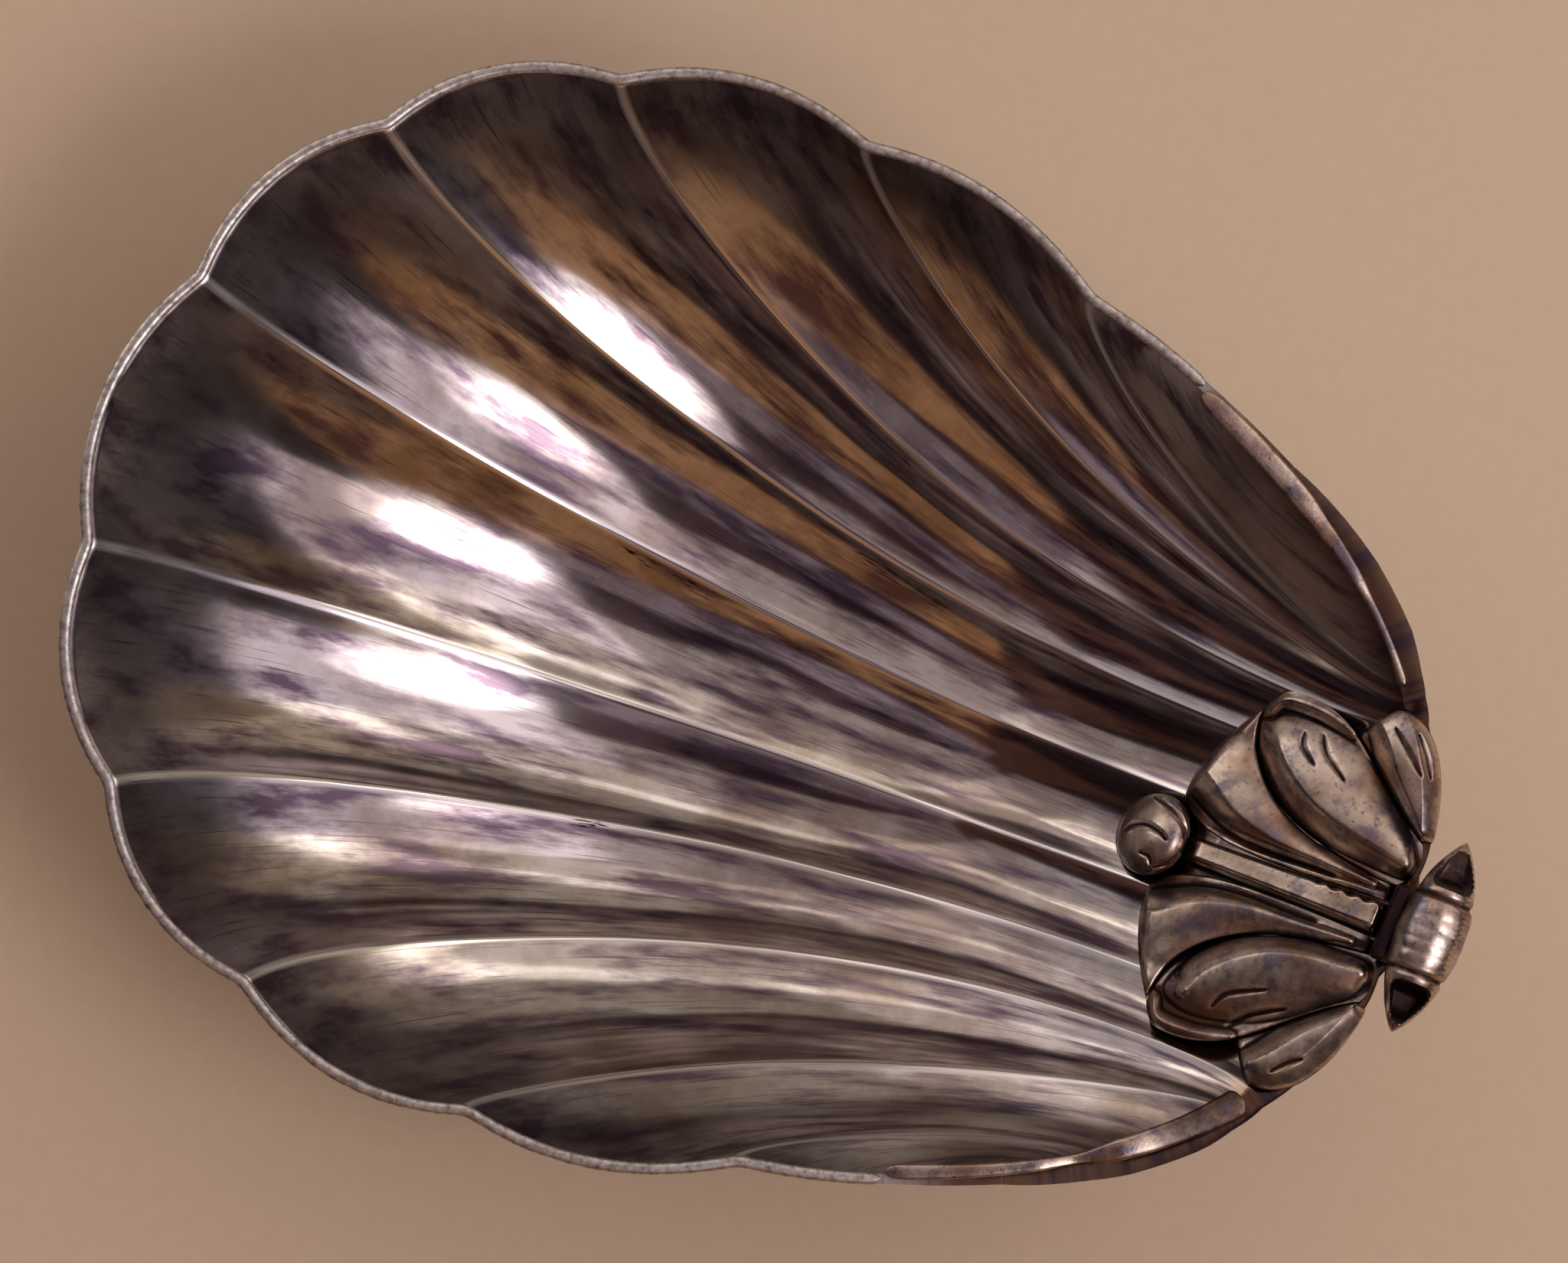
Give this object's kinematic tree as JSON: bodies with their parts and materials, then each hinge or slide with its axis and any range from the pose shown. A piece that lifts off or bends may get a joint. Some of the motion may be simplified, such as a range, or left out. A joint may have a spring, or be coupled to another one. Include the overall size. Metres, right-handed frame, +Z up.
{
  "type": "baptismal shell",
  "caption": "Fluted silver scallop bowl for pouring baptismal water, with a rim wire, a cast acanthus leaf handle and a rolled thumb scroll.",
  "frame": {"origin": "on the table, under the middle of the overall box", "axes": "+X from the pouring lip to the thumb scroll, +Z up out of the bowl, +Y across it"},
  "size_m": [0.2392, 0.1782, 0.0614],
  "materials": {
    "raised_silver": "hammered and burnished silver with warm tarnish",
    "rim_silver": "worn silver wire, speckled",
    "cast_silver": "cast and chased silver, dark in its recesses"
  },
  "bodies": {
    "root": {"shell_bowl": "raised_silver", "rim_wire": "rim_silver", "left_rim_arm": "cast_silver", "right_rim_arm": "cast_silver", "midrib": "cast_silver", "curled_bud": "cast_silver", "left_inner_leaf": "cast_silver", "right_inner_leaf": "cast_silver", "left_big_lobe": "cast_silver", "right_big_lobe": "cast_silver", "left_outer_lobe": "cast_silver", "right_outer_lobe": "cast_silver", "scroll_neck": "cast_silver", "thumb_scroll": "cast_silver"}
  },
  "joints": []
}
